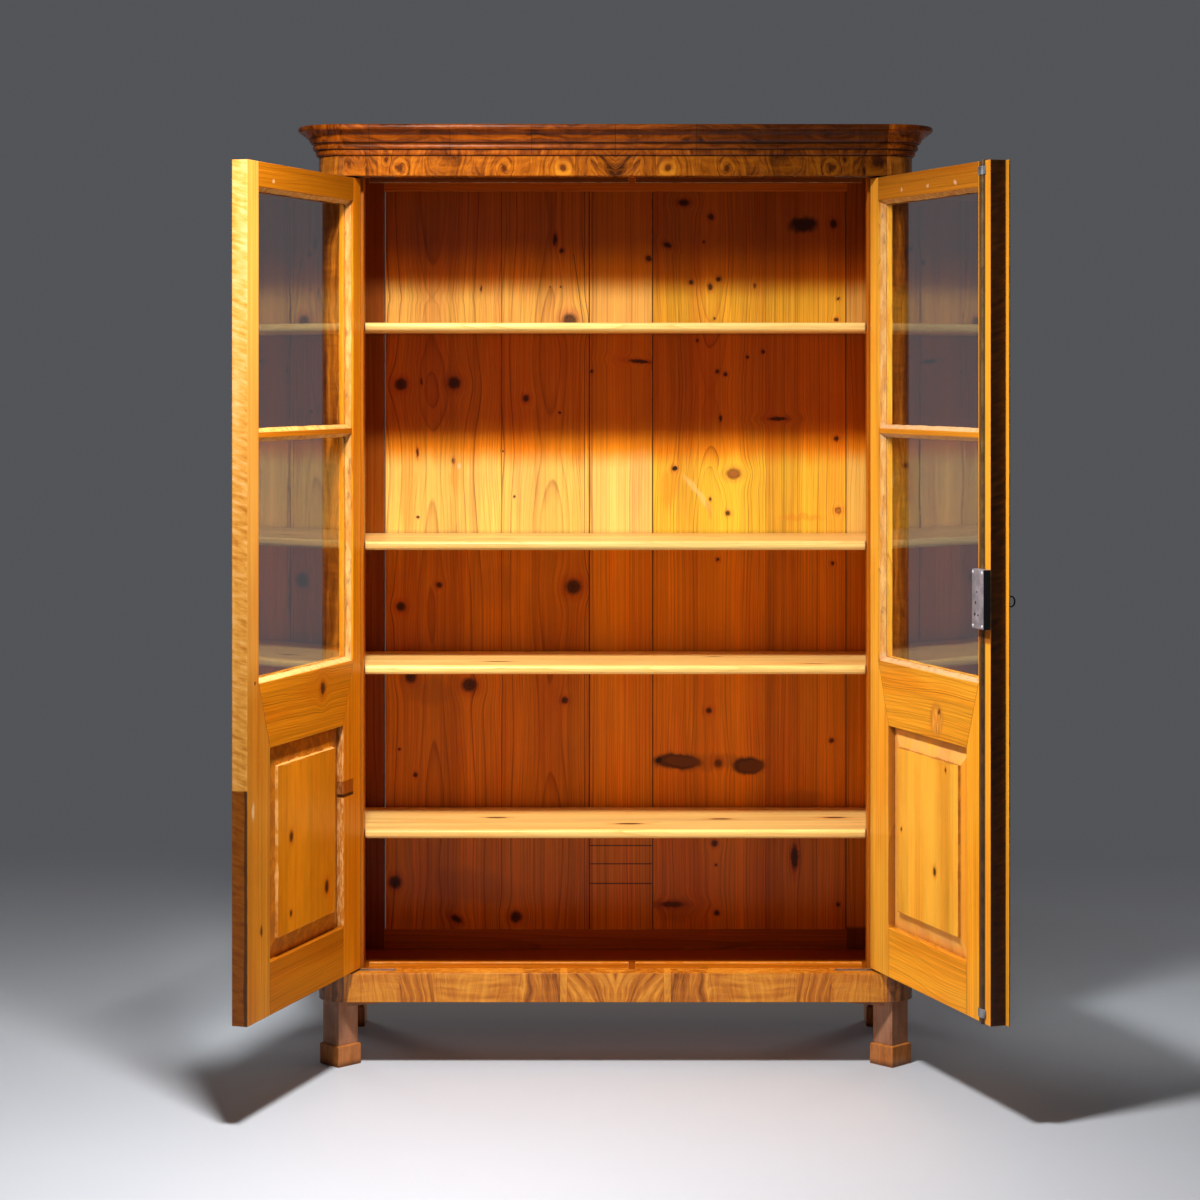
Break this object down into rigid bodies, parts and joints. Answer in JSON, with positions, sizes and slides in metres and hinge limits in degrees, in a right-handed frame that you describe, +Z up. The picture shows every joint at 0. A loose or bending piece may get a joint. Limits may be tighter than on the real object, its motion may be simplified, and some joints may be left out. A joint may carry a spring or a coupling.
{
  "type": "bookcase",
  "caption": "Tall bookcase with rounded front corners, a moulded cornice, plain shelves and two framed doors, glazed above and panelled below, on pin hinges with a key-worked bolt lock.",
  "frame": {"origin": "on the floor, centred left to right on the carcass, midway from the carcass's rear to the foremost corner of the open left door", "axes": "+Z up, +X to the right of someone facing the doors, +Y towards the back"},
  "size_m": [1.4428, 0.8975, 1.908],
  "materials": {
    "walnut": "polished veneer",
    "pine": "shellac",
    "door_wood": "shellac",
    "iron": "dark, worn",
    "glass": "clear"
  },
  "bodies": {
    "carcass": {"apron": "walnut", "back_bottom_rail": "pine", "back_muntin": "pine", "back_panel_left": "pine", "back_panel_right": "pine", "back_stile_left": "pine", "back_stile_right": "pine", "back_top_rail": "pine", "base_side_left": "walnut", "base_side_right": "walnut", "bottom_board": "pine", "ceiling_board": "pine", "cornice_front": "walnut", "cornice_left": "walnut", "cornice_right": "walnut", "door_stops": "pine", "dust_board": "pine", "frieze": "walnut", "frieze_side_left": "walnut", "frieze_side_right": "walnut", "front_leg_left": "walnut", "front_leg_right": "walnut", "front_post_left": "walnut", "front_post_right": "walnut", "knee_blocks": "pine", "leg_cuffs": "walnut", "pivot_plates": "iron", "rear_post_left": "pine", "rear_post_right": "pine", "shelf_1": "pine", "shelf_2": "pine", "shelf_3": "pine", "shelf_4": "pine", "shelf_cleats": "pine", "side_panel_left": "walnut", "side_panel_right": "walnut"},
    "left_door": {"left_bottom_rail": "door_wood", "left_glazing_bar": "door_wood", "left_hinge_stile": "door_wood", "left_lock_rail": "door_wood", "left_meeting_stile": "door_wood", "left_panel": "door_wood", "left_panes": "glass", "left_pivot_sockets": "iron", "left_top_rail": "door_wood"},
    "right_door": {"astragal": "walnut", "lock_case": "iron", "right_bottom_rail": "door_wood", "right_glazing_bar": "door_wood", "right_hinge_stile": "door_wood", "right_lock_rail": "door_wood", "right_meeting_stile": "door_wood", "right_panel": "door_wood", "right_panes": "glass", "right_pivot_sockets": "iron", "right_top_rail": "door_wood", "rod_guides": "iron"},
    "upper_rod": {"upper_rod": "iron"},
    "lower_rod": {"lower_rod": "iron"},
    "key": {"key": "iron"}
  },
  "joints": [
    {"name": "left_door_hinge", "type": "hinge", "parent": "carcass", "child": "left_door", "pos_m": [-0.535, 0.06546, 1], "axis": [0, 0, 1], "range_deg": [-2.4, 107.6]},
    {"name": "right_door_hinge", "type": "hinge", "parent": "carcass", "child": "right_door", "pos_m": [0.535, 0.06546, 1], "axis": [0, 0, -1], "range_deg": [-0.9, 109.1]},
    {"name": "key_turn", "type": "hinge", "parent": "right_door", "child": "key", "pos_m": [0.69902, -0.40819, 0.9795], "axis": [-0.9449, -0.3272, 0], "range_deg": [0, 180]},
    {"name": "upper_rod_slide", "type": "slide", "parent": "right_door", "child": "upper_rod", "axis": [0, 0, 1], "range_m": [0, 0.012]},
    {"name": "lower_rod_slide", "type": "slide", "parent": "right_door", "child": "lower_rod", "axis": [0, 0, -1], "range_m": [0, 0.012]}
  ],
  "couplings": [
    {"joint": "key_turn", "follows": "upper_rod_slide", "rad_per_m": 261.79},
    {"joint": "lower_rod_slide", "follows": "upper_rod_slide", "ratio": 1}
  ]
}
